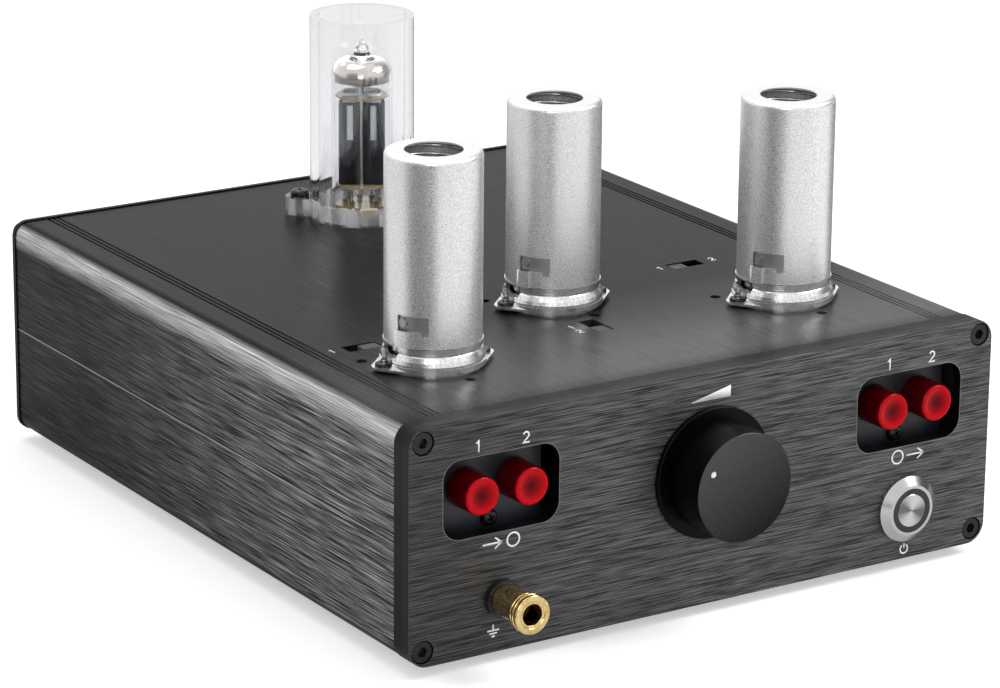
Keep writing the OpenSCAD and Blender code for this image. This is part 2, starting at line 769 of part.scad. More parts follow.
module rectifier_micas() color("white") at_rectifier() for (z = mica_z)
    translate([0, 0, z]) linear_extrude(0.5) difference() {
        circle(bulb_r - glass_wall - 0.3);
        for (sx = [-1, 1]) translate([sx * 3.5, 0]) circle(0.9);
    }

module rectifier_bulb() at_rectifier()
    glass_bulb(bulb_r, rect_glass_z, bulb_top, bulb_tip, 5, 2.2);

module tube_cover() color("white", 0.3) at_rectifier() difference() {
    union() {
        rod(cover_r, 0, cover_h);
        rod(cover_r + 0.45, 0, cover_flange_t);
        rotate([0, 0, cover_turn]) lugs(cover_lug, cover_lug_r, cover_flange_t);
    }
    rod(cover_bore_r, -1, cover_h + 1);
    rotate([0, 0, cover_turn]) for (sx = [-1, 1]) translate([sx * cover_lug, 0, 0])
        rod(clear_r, -1, cover_flange_t + 1);
}

module cover_screws() color("#202020") at_rectifier() rotate([0, 0, cover_turn])
    for (sx = [-1, 1]) translate([sx * cover_lug, 0, cover_flange_t])
        pan_screw(screw_r, 2.7, 1.8, 11);

// ---------------------------------------------------------------- selectors

module at_selector(n) {
    s = selectors[n];
    on_top(s) rotate([0, 0, s[2]]) translate([0, 0, -wall]) children();
}

stem_w = 1.6;

module selector_bodies() color("#101010") for (n = [0:2]) at_selector(n) difference() {
    translate([0, 0, -selector_h / 2])
        cube([selector_len + 2.4, selector_w + 2.4, selector_h], center = true);
    translate([-selector_len / 2, -selector_w / 2, -selector_pit])
        cube([selector_len, selector_w, selector_pit + 1]);
    translate([-selector_len / 2 + 0.8, -stem_w / 2, -selector_h + 1])
        cube([selector_len - 1.6, stem_w, selector_h]);
}

module selector_slider() color("gray") {
    ribs = 5;
    pitch = (slider_len - 0.5) / ribs;
    height = wall - 0.3;
    translate([-selector_len / 2 + slider_gap, -selector_w / 2 + slider_gap, -selector_pit + slider_gap]) {
        difference() {
            cube([slider_len, selector_w - 2 * slider_gap, height + selector_pit - slider_gap]);
            for (i = [0:ribs - 1]) translate([pitch * (i + 0.6), -1, height + selector_pit - slider_gap - 0.5])
                cube([pitch * 0.45, selector_w + 2, 1]);
        }
        translate([slider_len / 2 - 0.6, selector_w / 2 - slider_gap - stem_w / 2 + slider_gap, -2.4])
            cube([1.2, stem_w - 2 * slider_gap, 2.5]);
    }
}

// ---------------------------------------------------------------- the parts

in_frame() top_shell();
in_frame() bottom_shell();
in_frame() front_bezel();
in_frame() front_panel();
in_frame() rear_panel();
in_frame() front_screws();
in_frame() rear_screws();
in_frame() rubber_feet();
in_frame() main_board();
in_frame() filter_capacitors();
in_frame() jack_block(-1);  // phono_in_block
in_frame() jack_block(1);  // line_out_block
in_frame() jack_shells();
in_frame() jack_screws();
in_frame() volume_knob();
in_frame() knob_grub_screw();
in_frame() pot_shaft();
in_frame() pot_body();
in_frame() panel_nuts();
in_frame() power_switch_body();
in_frame() power_light_ring();
in_frame() power_button();
in_frame() earth_washer();
in_frame() earth_post();
in_frame() earth_thumb_nut();
in_frame() power_inlet();
in_frame() socket_screws();
in_frame() rectifier_socket();
in_frame() rectifier_stem();
in_frame() rectifier_electrodes();
in_frame() rectifier_micas();
in_frame() rectifier_bulb();
in_frame() tube_cover();
in_frame() cover_screws();
in_frame() selector_bodies();
for (n = [0:3])
    in_frame() dust_cap(n);
for (n = [0:2]) {
    in_frame() at_valve(n) shield_base();
    in_frame() at_valve(n) valve_socket();
    in_frame() at_valve(n) valve_bulb();
    in_frame() at_valve(n) valve_core();
    in_frame() at_valve(n) shield_spring();
    in_frame() at_valve(n) shield_can();
    in_frame() at_selector(n) selector_slider();
}
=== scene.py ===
# %% [markdown]
# # A valve phono preamplifier
# The real thing is a flat brushed case with jacks, a knob and a switch on its front, and on its top three
# shielded valves and a bare one. It could be modelled here from nothing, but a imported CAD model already
# gives every size and every joint. So the script loads that first, as a frame that nothing moves, and
# dresses it. New pieces are surfaces worked out with numpy in the frame's metres, and most stand for the
# CAD node they cover.

# %% The frame and its size
import math
import bmesh
import bpy
import numpy as np
from mathutils import Matrix, Vector


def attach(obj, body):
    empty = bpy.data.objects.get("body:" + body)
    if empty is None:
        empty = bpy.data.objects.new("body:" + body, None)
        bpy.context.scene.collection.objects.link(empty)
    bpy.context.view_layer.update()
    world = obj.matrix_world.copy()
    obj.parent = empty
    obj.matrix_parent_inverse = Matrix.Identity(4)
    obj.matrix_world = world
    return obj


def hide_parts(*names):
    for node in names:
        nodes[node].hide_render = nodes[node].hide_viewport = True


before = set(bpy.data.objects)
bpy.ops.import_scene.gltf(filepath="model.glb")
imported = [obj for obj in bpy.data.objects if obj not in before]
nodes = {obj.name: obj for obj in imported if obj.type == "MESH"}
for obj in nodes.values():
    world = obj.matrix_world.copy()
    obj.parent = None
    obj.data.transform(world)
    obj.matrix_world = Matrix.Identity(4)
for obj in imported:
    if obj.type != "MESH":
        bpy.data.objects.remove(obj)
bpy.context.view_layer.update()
scene = bpy.context.scene

# %% [markdown]
# ## Places
# A maker's drawing gives sizes from the front plate and from the top. So pieces are drawn in millimetres
# from a seat on one of them, and a seat is a place with three axes. The case has its own zero: X runs along
# the front plate, Y back from the plate's face and Z up from the plate's middle. Each piece could be an
# object that is moved and turned, but then its finish would move with it. Here one function carries an
# array of points into the frame, so that every object stays at the origin, as a CAD node does.

# %% Seats on the top and on the front
MM = 0.001
ZERO = np.array([0, -101.6, 34.2])
TOP = 30.7
TOP_LEVEL = TOP + ZERO[2]


def on_top(x, y, turn=0):
    """A seat on the top: local Z is up, and local X is turned by some degrees from the frame's."""
    cos, sin = math.cos(math.radians(turn)), math.sin(math.radians(turn))
    return np.array([x, y, TOP]), np.array([[cos, -sin, 0], [sin, cos, 0], [0, 0, 1]])


def on_front(x, z):
    """A seat on the front plate: local X is right, local Y up and local Z out of the plate."""
    return np.array([x, 0, z]), np.array([[1, 0, 0], [0, 0, -1], [0, 1, 0]])


def to_frame(points, seat):
    """Local millimetres to the frame's metres: turn by the seat's axes, then add the seat and the case's
    zero."""
    place, axes = seat
    return (points @ axes.T + place + ZERO) * MM


print("the case's top is at", round(TOP_LEVEL * MM, 4), "metres")

# %% [markdown]
# ## Camera
# A long lens about a metre away keeps the long edges of a case nearly parallel. The camera stands to the
# left of the front and a little above. A constraint could aim it at the case, but one matrix says it all:
# its columns are the camera's right, up and backward directions, and then its place.

# %% The camera
LENS = 149.56
SENSOR_WIDTH = 36
SHIFT = (-0.0005, -0.0255)
CAMERA_PLACE = Matrix((
    (0.84264975, 0.1521018, -0.51653309, -0.58453),
    (-0.53839633, 0.25298592, -0.80382057, -0.91158),
    (0.00841305, 0.95543873, 0.29506958, 0.38692),
    (0, 0, 0, 1)))
camera_data = bpy.data.cameras.new("camera")
camera_data.lens = LENS
camera_data.sensor_width = SENSOR_WIDTH
camera_data.shift_x, camera_data.shift_y = SHIFT
camera = bpy.data.objects.new("camera", camera_data)
camera.matrix_world = CAMERA_PLACE
scene.collection.objects.link(camera)
scene.camera = camera
print("camera distance", round(camera.matrix_world.translation.length, 3))

# %% [markdown]
# ## Shader sums
# A finish is a small sum over the surface. Its nodes could be wired by hand, but then the sum is hidden in
# the links. Written as Python it stays readable: a Value wraps the output of a node, and each operator on
# it adds the Math node that does the work.

# %% Values


class Value:
    """The output of a node. Sums, products and comparisons with it add Math nodes."""

    def __init__(self, finish, socket):
        self.finish, self.socket = finish, socket

    def sum_of(self, operation, first, second=0.0):
        return self.finish.node("ShaderNodeMath", {"operation": operation}, {0: first, 1: second})

    def __add__(self, other):
        return self.sum_of("ADD", self, other)

    def __radd__(self, other):
        return self.sum_of("ADD", other, self)

    def __sub__(self, other):
        return self.sum_of("SUBTRACT", self, other)

    def __rsub__(self, other):
        return self.sum_of("SUBTRACT", other, self)

    def __mul__(self, other):
        return self.sum_of("MULTIPLY", self, other)

    def __rmul__(self, other):
        return self.sum_of("MULTIPLY", other, self)

    def __gt__(self, other):
        return self.sum_of("GREATER_THAN", self, other)

    def __lt__(self, other):
        return self.sum_of("LESS_THAN", self, other)

    def __pow__(self, other):
        return self.sum_of("POWER", self, other)

    def __abs__(self):
        return self.sum_of("ABSOLUTE", self)

    def at_least(self, floor_value):
        return self.sum_of("MAXIMUM", self, floor_value)


def colour(hex_code):
    """A written colour such as 4a4a4a as the linear red, green, blue and alpha that shaders use."""
    parts = [int(hex_code[i:i + 2], 16) / 255 for i in (0, 2, 4)]
    return tuple(p / 12.92 if p <= 0.04045 else ((p + 0.055) / 1.055) ** 2.4 for p in parts) + (1,)


print("4a4a4a as light", [round(part, 4) for part in colour("4a4a4a")])

# %% [markdown]
# ## Finishes
# A Finish collects the nodes of one material. Each kind of node could have its own lines of code, but they
# all need the same three things: a type, some settings that are made first, and values or links for the
# sockets. So one method makes any node, and the others name what a maker asks of it: a noise, a fade, a
# mix, a bump.

# %% Finishes


class Finish:
    """One material in the making."""

    def __init__(self, name, world=None):
        self.home = world or bpy.data.materials.new(name)
        self.home.use_nodes = True
        self.tree = self.home.node_tree
        self.tree.nodes.clear()

    def node(self, kind, settings, sockets, out=0):
        """A node of some type, with its settings made first and then its sockets set or linked."""
        made = self.tree.nodes.new(kind)
        for name, value in settings.items():
            setattr(made, name, value)
        for name, value in sockets.items():
            if isinstance(value, Value):
                self.tree.links.new(value.socket, made.inputs[name])
            else:
                made.inputs[name].default_value = value
        return Value(self, made.outputs[out]) if made.outputs else None

    def spot(self):
        """Where the shaded point is on the object, in metres of the frame."""
        return self.node("ShaderNodeTexCoord", {}, {}, out="Object")

    def axis(self, letter):
        """One coordinate of the point, in metres."""
        return self.node("ShaderNodeSeparateXYZ", {}, {0: self.spot()}, out="XYZ".index(letter))

    def above_top(self):
        """Height of the point above the case's top, in metres."""
        return self.axis("Z") - TOP_LEVEL * MM

    def mark(self, name):
        """A number that the piece's own mesh keeps at each point, such as its distance from the axis."""
        return self.node("ShaderNodeAttribute", {"attribute_name": name}, {}, out="Fac")

    def noise(self, x, y=None, z=None, detail=2.0):
        """Smooth noise from 0 to 1, with one cycle in 1/x, 1/y and 1/z metres along the axes."""
        place = self.node("ShaderNodeVectorMath", {"operation": "MULTIPLY"}, {
            0: self.spot(), 1: (x, y or x, z or x)})
        return self.node("ShaderNodeTexNoise", {}, {
            "Vector": place, "Scale": 1.0, "Detail": detail, "Roughness": 0.5})

    def between(self, value, low, high, to_low=0.0, to_high=1.0):
        """Maps low..high of a value onto to_low..to_high, and holds it there beyond the ends."""
        return self.node("ShaderNodeMapRange", {"clamp": True}, {
            0: value, 1: low, 2: high, 3: to_low, 4: to_high})

    def spread(self, noise, to_low=0.0, to_high=1.0):
        """Maps the range in which most of a noise lies onto to_low..to_high."""
        return self.between(noise, 0.3, 0.7, to_low, to_high)

    def mix(self, factor, first, second):
        """A colour between two colours."""
        return self.node("ShaderNodeMix", {"data_type": "RGBA"}, {0: factor, 6: first, 7: second}, out=2)

    def tones(self, factor, dark, pale):
        """A colour between two written colours."""
        return self.mix(factor, colour(dark), colour(pale))

    def bump(self, height, strength, distance):
        """A normal that tilts as if the surface rose by height times distance, in metres."""
        return self.node("ShaderNodeBump", {}, {
            "Strength": strength, "Distance": distance, "Height": height})

    def shader(self, sockets):
        """The Principled shader with these sockets."""
        return self.node("ShaderNodeBsdfPrincipled", {}, sockets)

    def facing(self):
        """0 where the surface faces the eye and 1 where it is seen edge on, for glass and gloss."""
        return self.node("ShaderNodeLayerWeight", {}, {"Blend": 0.5}, out="Facing")

    def lit_through(self, surface, tint):
        """The surface for the eye, and a plain tinted window for lamp light, so that what is inside is
        lit."""
        shade = self.node("ShaderNodeLightPath", {}, {}, out="Is Shadow Ray")
        window = self.node("ShaderNodeBsdfTransparent", {}, {"Color": tint})
        return self.node("ShaderNodeMixShader", {}, {0: shade, 1: surface, 2: window})

    def done(self, surface):
        """Sends a shader to the material's output and gives the material."""
        self.node("ShaderNodeOutputMaterial", {}, {"Surface": surface})
        print("finish", self.home.name, "of", len(self.tree.nodes), "nodes")
        return self.home


# %% [markdown]
# ## Studio
# The case stands on white paper in a plain soft light. A white room could light it by itself, but metal
# shows whatever it mirrors, and all of it white looks flat. So the world is white to the camera and through
# glass, and metal finds it white too, but for two darker sides: a dim one to the right, and a black flag at
# the front left, which draws the dark band down a can, as a flag does in a real studio.

# %% The world
scene.view_settings.view_transform = "Standard"
DIM_SIDE = (0.97, 0.12, 0.21)
DIM_FADE = (0.72, 0.93, 1.0, 0.12)
FLAG_SIDE = (-0.9, -0.42, 0.12)
FLAG_FADE = (0.8, 0.94, 1.0, 0.06)
DAYLIGHT = 0.6
world = bpy.data.worlds.new("studio")
scene.world = world
air = Finish("studio", world)
seen, glossy, through = (air.node("ShaderNodeLightPath", {}, {}, out=name)
                         for name in ("Is Camera Ray", "Is Glossy Ray", "Is Transmission Ray"))
looking = air.node("ShaderNodeTexCoord", {}, {}, out="Generated")
toward_dim, toward_flag = (air.node("ShaderNodeVectorMath", {"operation": "DOT_PRODUCT"}, {
    0: looking, 1: way}, out=1) for way in (DIM_SIDE, FLAG_SIDE))
room = air.between(toward_dim, *DIM_FADE) * air.between(toward_flag, *FLAG_FADE)
strength = seen + glossy * room + through + (1 - (seen + glossy + through)) * DAYLIGHT
sky = air.node("ShaderNodeBackground", {}, {"Color": (1, 1, 1, 1), "Strength": strength})
air.node("ShaderNodeOutputWorld", {}, {"Surface": sky})
print("world of", len(air.tree.nodes), "nodes")

# %% [markdown]
# Three soft boxes do the rest. A sun would be simpler, but its hard shadows don't suit paper. The key
# stands on the right, one hangs above, and a small one low on the left lights the near end of the brushed
# side.

# %% The lamps
CASE_MIDDLE = (0, 0, 0.05)
LEFT_SIDE = (-0.09, -0.06, 0.03)


def lamp(name, place, aim, size, watts):
    """A soft box of some width and height at a place, turned to face a point."""
    data = bpy.data.lights.new(name, "AREA")
    data.shape = "RECTANGLE"
    data.size, data.size_y = size
    data.energy = watts
    made = bpy.data.objects.new(name, data)
    made.location = place
    made.rotation_euler = (Vector(aim) - Vector(place)).to_track_quat("-Z", "Y").to_euler()
    scene.collection.objects.link(made)


lamp("key", (0.9, -0.5, 1.1), CASE_MIDDLE, (0.7, 0.7), 14)
lamp("top", (-0.2, 0.5, 1.4), CASE_MIDDLE, (1.0, 0.8), 8)
lamp("left", (-0.45, -0.55, 0.3), LEFT_SIDE, (0.25, 0.25), 0.8)
print("lamps", len(bpy.data.lights))

# %% [markdown]
# The paper could be lit until it is white, but more light would wash out the case. It glows a little for
# the camera alone instead, and keeps the case's shadow. Two dark cards lie on it, one at each side, where
# only polished metal sees them: they give the cans and the brushed plates something dark to mirror.

# %% The paper and the cards
PAPER_GLOW = 0.47
CARD_HEIGHT = 0.0004
PAPER = [(-6, -6), (6, -6), (6, 6), (-6, 6)]
LEFT_CARD = [(-0.13, -0.075), (-0.95, 0.05), (-1.05, -0.6), (-0.5, -1.0), (-0.11, -0.17)]
RIGHT_CARD = [(0.1, -0.07), (0.8, -0.07), (0.8, 0.7), (0.1, 0.25)]


def sheet_on_floor(name, corners, height, finish):
    """A flat studio piece: its corners lie at one height above the floor."""
    mesh = bpy.data.meshes.new(name)
    mesh.from_pydata([(x, y, height) for x, y in corners], [], [tuple(range(len(corners)))])
    made = bpy.data.objects.new(name, mesh)
    scene.collection.objects.link(made)
    mesh.materials.append(finish)
    return made


paper = Finish("paper")
seen = paper.node("ShaderNodeLightPath", {}, {}, out="Is Camera Ray")
grain = paper.noise(900, detail=3)
matt = paper.shader({"Base Color": paper.tones(grain, "d8d8d8", "dedede"), "Roughness": 0.9})
glow = paper.node("ShaderNodeEmission", {}, {"Strength": seen * PAPER_GLOW})
sheet_on_floor("floor", PAPER, 0, paper.done(paper.node("ShaderNodeAddShader", {}, {0: matt, 1: glow})))
for hand, corners, tone in (("left", LEFT_CARD, "0c0c0c"), ("right", RIGHT_CARD, "404040")):
    black = Finish("card_" + hand)
    card = sheet_on_floor("card_" + hand, corners, CARD_HEIGHT,
                          black.done(black.shader({"Base Color": colour(tone), "Roughness": 0.9})))
    for ray in ("camera", "diffuse", "transmission", "shadow", "volume_scatter"):
        setattr(card, "visible_" + ray, False)

# %% [markdown]
# ## Brushed case
# Brushed aluminium is a field of fine scratches that all run one way. A picture of scratches would do from
# one distance only. Noise that is stretched a hundred times further along the scratches than across them
# gives both their tone and their height, at any distance. They run from front to back on the case. Where
# the soft boxes reach the metal, their light is painted into its tone: the top is painted paler toward the
# front and the right, and darker again along the front edge, and the side paler toward the front. A painted
# highlight runs along the rounded corner of the extrusion. The two halves of the case meet in a fine dark
# seam at mid-height, and a pale line under it is a painted highlight on the lip.

# %% Brushed case
SIDE_X = 0.0893
CORNER_X = 0.0855
CORNER_Z = 0.0607
CORNER_RISE = (-0.0032, 0.0006)
CORNER_FALL = (0.0038, 0.0026)
SIDE_FADE = (0.07, -0.06)
TOP_FADE = (-0.03, -0.075)
TOP_FADE_X = (-0.12, -0.04)
FRONT_STRIP = (-0.0985, -0.087)
SEAM_Z, SEAM_HALF = 0.0342, 0.00016
LIP_DROP, LIP_HALF = 0.0004, 0.00022
FINE_SHARE = 0.6
SCRATCH = (0.35, 0.00004)


def streaks(finish, letter, fine, broad, length):
    """Noise in streaks that run along one axis, with so many fine and broad ones across a metre and each so
    many times longer than it is wide. Gives the two mixed together, and then the broad ones alone."""
    layers = []
    for across, detail in ((fine, 2), (broad, 3)):
        along = across / length
        steps = {"X": (along, across, across), "Y": (across, along, across)}[letter]
        layers.append(finish.noise(*steps, detail=detail))
    return layers[0] * FINE_SHARE + layers[1] * (1 - FINE_SHARE), layers[1]


case = Finish("grey_brushed")
scratches, bands = streaks(case, "Y", 10000, 5600, 150)
from_middle, back, up = abs(case.axis("X")), case.axis("Y"), case.axis("Z")
# Painted light: the top is paler toward the front and the right, and darker along its front edge.
lit = case.between(back, *TOP_FADE) * case.between(case.axis("X"), *TOP_FADE_X)
lit = lit * case.between(back, *FRONT_STRIP)
grooves = case.between(scratches, 0.36, 0.64)
flat_tone = case.mix(lit, case.tones(grooves, "0c0c0d", "202021"), case.tones(grooves, "4a4a4b", "727273"))
grooves = case.between(scratches, 0.47, 0.64)
# Painted light: the side is paler toward the front than at the back.
side_tone = case.mix(case.between(back, *SIDE_FADE), case.tones(grooves, "0c0c0c", "58585a"),
                     case.tones(grooves, "0c0c0c", "c8c8c9"))
seam = abs(up - SEAM_Z) < SEAM_HALF
# The seam is the real dark joint; the pale line under it is a painted highlight on the lip.
lip_highlight = abs(up - (SEAM_Z - LIP_DROP)) < LIP_HALF
side_tone = case.mix(lip_highlight * 0.5, case.mix(seam, side_tone, colour("010101")), colour("c8c8c9"))
# Painted highlight along the rounded corner of the extrusion.
corner = case.between(up - CORNER_Z, *CORNER_RISE) * case.between(up - CORNER_Z, *CORNER_FALL)
corner = corner * (from_middle > CORNER_X)
corner_highlight_tone = case.tones(case.between(scratches, 0.4, 0.6), "747475", "dcdcdd")
case_tone = case.mix(corner, case.mix(from_middle > SIDE_X, flat_tone, side_tone), corner_highlight_tone)
case_metal = case.done(case.shader({
    "Base Color": case_tone, "Metallic": 0.6, "Specular IOR Level": 0.1,
    "Specular Tint": (0.62, 0.62, 0.62, 1), "Roughness": case.spread(bands, 0.24, 0.36),
    "Normal": case.bump(scratches, *SCRATCH)}))

# %% [markdown]
# ## Brushed front plate
# The plate is brushed from side to side, and its rim is left dark. Behind its face the walls of the windows
# and screw holes take the same dark, as painted shade, and the face is painted darker toward its left end,
# as painted shade. Round each of its two jack windows a thin painted highlight stands for the milled edge
# catching light. A bevel could give it, but at a fifth of a millimetre a line of tone does as well: it lies
# where the distance from a rounded rectangle is small.

# %% Brushed front plate
FACE_Y = -0.10145
WINDOW_X, WINDOW_Z = 63.2, 44.9
WINDOW_SIZE = (0.0339, 0.0207, 0.005)
EDGE_WIDTH = 0.0002
PLATE_FADE = (-0.085, -0.03)


def outside_round(finish, x, z, width, height, radius):
    """Distance outside a rounded rectangle, in metres: the length of (|x| - w/2 + r, |z| - h/2 + r), where
    each is kept positive, less r."""
    dx = (abs(finish.axis("X") - x) - (width / 2 - radius)).at_least(0.0)
    dz = (abs(finish.axis("Z") - z) - (height / 2 - radius)).at_least(0.0)
    return (dx * dx + dz * dz) ** 0.5 - radius


plate = Finish("front_brushed")
scratches, bands = streaks(plate, "X", 11000, 6600, 90)
grooves = plate.between(scratches, 0.44, 0.58)
# Painted highlight: a thin pale line round each window.
window_highlights = [outside_round(plate, side * WINDOW_X * MM, WINDOW_Z * MM, *WINDOW_SIZE) < EDGE_WIDTH
         for side in (-1, 1)]
# Painted shade: the face is darker toward its left end.
plate_tone = plate.mix(plate.between(plate.axis("X"), *PLATE_FADE), plate.tones(grooves, "1a1a1b", "565657"),
                       plate.tones(grooves, "1f1f20", "727273"))
plate_tone = plate.mix((window_highlights[0] + window_highlights[1]) * 0.3, plate_tone, colour("a4a4a4"))
# Behind the face all is dark: the plate's rim, and as painted shade the window walls and screw holes.
front_metal = plate.done(plate.shader({
    "Base Color": plate.mix(plate.axis("Y") < FACE_Y, colour("0c0c0c"), plate_tone),
    "Metallic": 0.5, "Specular IOR Level": 0.25, "Roughness": plate.spread(bands, 0.36, 0.5),
    "Normal": plate.bump(scratches, *SCRATCH)}))

# %% [markdown]
# ## Plain finishes
# Moulded plastic, rubber, ceramic and plated metal each have a fine grain, and softer clouds in it where
# the piece was handled. Each finish could be wired by itself, but they differ only in tone, gloss and
# grain, so one function makes them all. Its numbers are the metallic share, the roughness, and the grain's
# size and height in metres.

# %% Plain finishes
CLOUD_SHARE = 0.3
CLOUD_STEP = 0.12


def grained(name, dark, pale, metallic, rough, grain_size, height, extra=None):
    """A finish whose tone, gloss and height follow one fine grain, with clouds that are about eight times
    wider than the grain."""
    finish = Finish(name)
    grain = finish.noise(1 / grain_size, detail=3)
    cloud = finish.noise(CLOUD_STEP / grain_size, detail=2)
    tone = finish.between(grain * (1 - CLOUD_SHARE) + cloud * CLOUD_SHARE, 0.35, 0.65)
    sockets = {"Base Color": finish.tones(tone, dark, pale), "Metallic": metallic,
               "Roughness": finish.spread(cloud, rough - 0.04, rough + 0.04),
               "Normal": finish.bump(grain, 0.5, height)}
    sockets.update(extra or {})
    return finish.done(finish.shader(sockets))


white_coat = grained("white_coat", "d4d8e0", "eceff6", 0.0, 0.6, 0.0005, 0.00001)
old_brass = grained("old_brass", "2c2210", "4a3a1c", 0.8, 0.4, 0.0008, 0.00001)
nickel = grained("nickel", "b8b6b0", "d8d6d0", 1.0, 0.2, 0.0008, 0.000008)
spring_steel = grained("spring", "b4b4b4", "d8d8d8", 1.0, 0.2, 0.0006, 0.000008)
gold = grained("gold", "ccaa66", "f0dca4", 1.0, 0.14, 0.0008, 0.000006)
black_metal = grained("black_steel", "0a0a0a", "1a1a1a", 0.3, 0.25, 0.0006, 0.00001)
edge_black = grained("black_edge", "040404", "0b0b0b", 0.0, 0.4, 0.0006, 0.00001,
                     {"Specular IOR Level": 0.12})
rubber = grained("rubber", "121212", "1e1e1e", 0.0, 0.75, 0.0007, 0.00003)
jack_plastic = grained("jack_plastic", "121419", "1c1f28", 0.0, 0.4, 0.0005, 0.00002)
black_plastic = grained("black_plastic", "0c0c0c", "171717", 0.0, 0.4, 0.0005, 0.00002)
ceramic = grained("ceramic", "d8d2c4", "ece8dc", 0.0, 0.5, 0.0009, 0.00002)
dark_ceramic = grained("dark_ceramic", "2e2822", "4e463c", 0.0, 0.5, 0.0009, 0.00002)
board = grained("board", "0c3a20", "155030", 0.0, 0.4, 0.0012, 0.00002)
capacitor = grained("capacitor", "101c40", "1c2c5c", 0.0, 0.35, 0.002, 0.00001)
anode = grained("anode", "1c1e21", "34363b", 0.7, 0.36, 0.0006, 0.00001)
mica = grained("mica", "7c6848", "b8a684", 0.0, 0.25, 0.0009, 0.00002)
slider_plastic = grained("slider", "4c4c4c", "6c6c6c", 0.0, 0.45, 0.0005, 0.00002)
lens = grained("lens", "161618", "242428", 0.0, 0.12, 0.0008, 0.000004)
ink = grained("white_ink", "e6e6e6", "f4f4f4", 0.0, 0.5, 0.0004, 0.000004)

# %% [markdown]
# ## Knob
# The knob is turned aluminium, blasted and dyed black. Lamps alone could light its face a little at the
# upper left, but a black face hides them, so that light is painted into the tone: it fades from pale at the
# upper left to dark at the lower right, and a fine sparkle breaks the fade up. The sides stay a plain,
# darker near-black.

# %% Knob
KNOB = (0, 4.5)
KNOB_FACE_Y = -0.1162
FACE_FADE = (-0.017, 0.017)
knob = Finish("knob_black")
sparkle = knob.noise(5200, detail=2)
# Painted light: the face is paler toward the upper left.
down_right = knob.axis("X") * 0.6 - (knob.axis("Z") - (KNOB[1] + ZERO[2]) * MM)
knob_painted_light = knob.between(down_right, *FACE_FADE) + (sparkle - 0.5) * 0.7
knob_lit_tone = knob.tones(knob_painted_light, "4a4a4b", "0c0c0d")
knob_black = knob.done(knob.shader({
    "Base Color": knob.mix(knob.axis("Y") < KNOB_FACE_Y, colour("030303"), knob_lit_tone), "Metallic": 0.4,
    "Specular IOR Level": 0.15, "Roughness": knob.spread(sparkle, 0.3, 0.42),
    "Normal": knob.bump(sparkle, 0.5, 0.00003)}))

# %% [markdown]
# ## Shield metal
# A shield can is drawn from aluminium sheet and left satin: a sparkle of tiny facets on its side, and a
# plain ring on its top, painted paler as painted light from above. Its base is the same metal, pressed to a
# shine up to the collar and satin above it, where the can slides; that sleeve lies inside the can, and its
# darker tone is painted shade. A scratch pattern would look brushed, so the facets are round noise, the
# same all ways.

# %% Shield cans and bases
FLAT_TOP = 55.6
COLLAR_TOP = 9.6
can = Finish("shield_metal")
facets = can.noise(3300, detail=1)
plain_lit_top = can.axis("Z") > (TOP_LEVEL + FLAT_TOP) * MM
can_tone = can.tones(can.spread(facets), "cccccc", "fefefe")
# Painted light: the plain top ring is paler than the side.
drawn = can.done(can.shader({
    "Base Color": can.mix(plain_lit_top, can_tone, colour("f0f0f0")), "Metallic": 0.82,
    "Roughness": can.spread(facets, 0.26, 0.4),
    "Normal": can.bump(facets * (1 - plain_lit_top), 0.75, 0.00005)}))

base = Finish("polished_collar")
grain = base.noise(1700, detail=2)
# Painted shade: the satin sleeve inside the can is darker.
shaded_sleeve = base.axis("Z") > (TOP_LEVEL + COLLAR_TOP) * MM
shine = base.tones(base.spread(grain), "d4d4d4", "fafafa")
collar = base.done(base.shader({
    "Base Color": base.mix(shaded_sleeve, shine, colour("a8a8a8")), "Metallic": 0.88,
    "Roughness": base.between(shaded_sleeve, 0, 1, 0.2, 0.42), "Normal": base.bump(grain, 0.5, 0.00001)}))

# %% [markdown]
# ## Turned steel
# A face that was turned on a lathe keeps rings finer than the eye can part. They spread the gloss along the
# radius, which draws a bright fan on a push button. An anisotropic shader could do that, but it needs a
# tangent on every face. Here the rings are a height, and the fan is a painted highlight in the tone, bright
# above and below the button's middle. Both follow the distance from the switch's own axis, worked out from
# the point's X and Z.

# %% Turned steel
SWITCH = (63.2, -17)
FAN_X, FAN_Z = 0.3, 0.954
BUTTON_RADIUS = 0.0047
RINGS_A_METRE = 9000
ring_steel = Finish("turned_steel")
reach_x = ring_steel.axis("X") - SWITCH[0] * MM
reach_z = ring_steel.axis("Z") - (SWITCH[1] + ZERO[2]) * MM
reach = (reach_x * reach_x + reach_z * reach_z) ** 0.5
rings = ring_steel.node("ShaderNodeTexNoise", {"noise_dimensions": "1D"}, {
    "W": reach * RINGS_A_METRE, "Scale": 1.0, "Detail": 2.0})
# Painted highlight: the button's tone is brighter above and below its middle.
sweep = abs(reach_x * FAN_X + reach_z * FAN_Z) * reach.at_least(0.0003) ** -1
painted_fan = ring_steel.between(sweep, 0.25, 1.0) * (reach < BUTTON_RADIUS) + (reach > BUTTON_RADIUS) * 0.8
turned_steel = ring_steel.done(ring_steel.shader({
    "Base Color": ring_steel.tones(painted_fan * 0.85 + rings * 0.15, "626262", "d4d4d4"),
    "Metallic": 1.0, "Roughness": 0.2, "Normal": ring_steel.bump(rings, 0.6, 0.000004)}))

# %% [markdown]
# ## Clear pieces
# Glass and acrylic are dark where they are seen edge on, because the light that enters there comes from the
# dim sides of the room. A plain glass shader shows that only in a full room, so that shade is painted: the
# tint itself darkens toward the edge. The acrylic cover is sawn from a tube, and frosted on its rim and
# round its foot.

# %% Clear finishes
SAWN_FOOT = 0.0049
SAWN_RIM = 0.05825
CLEAR_SHADE = (0.93, 0.93, 0.93, 1)


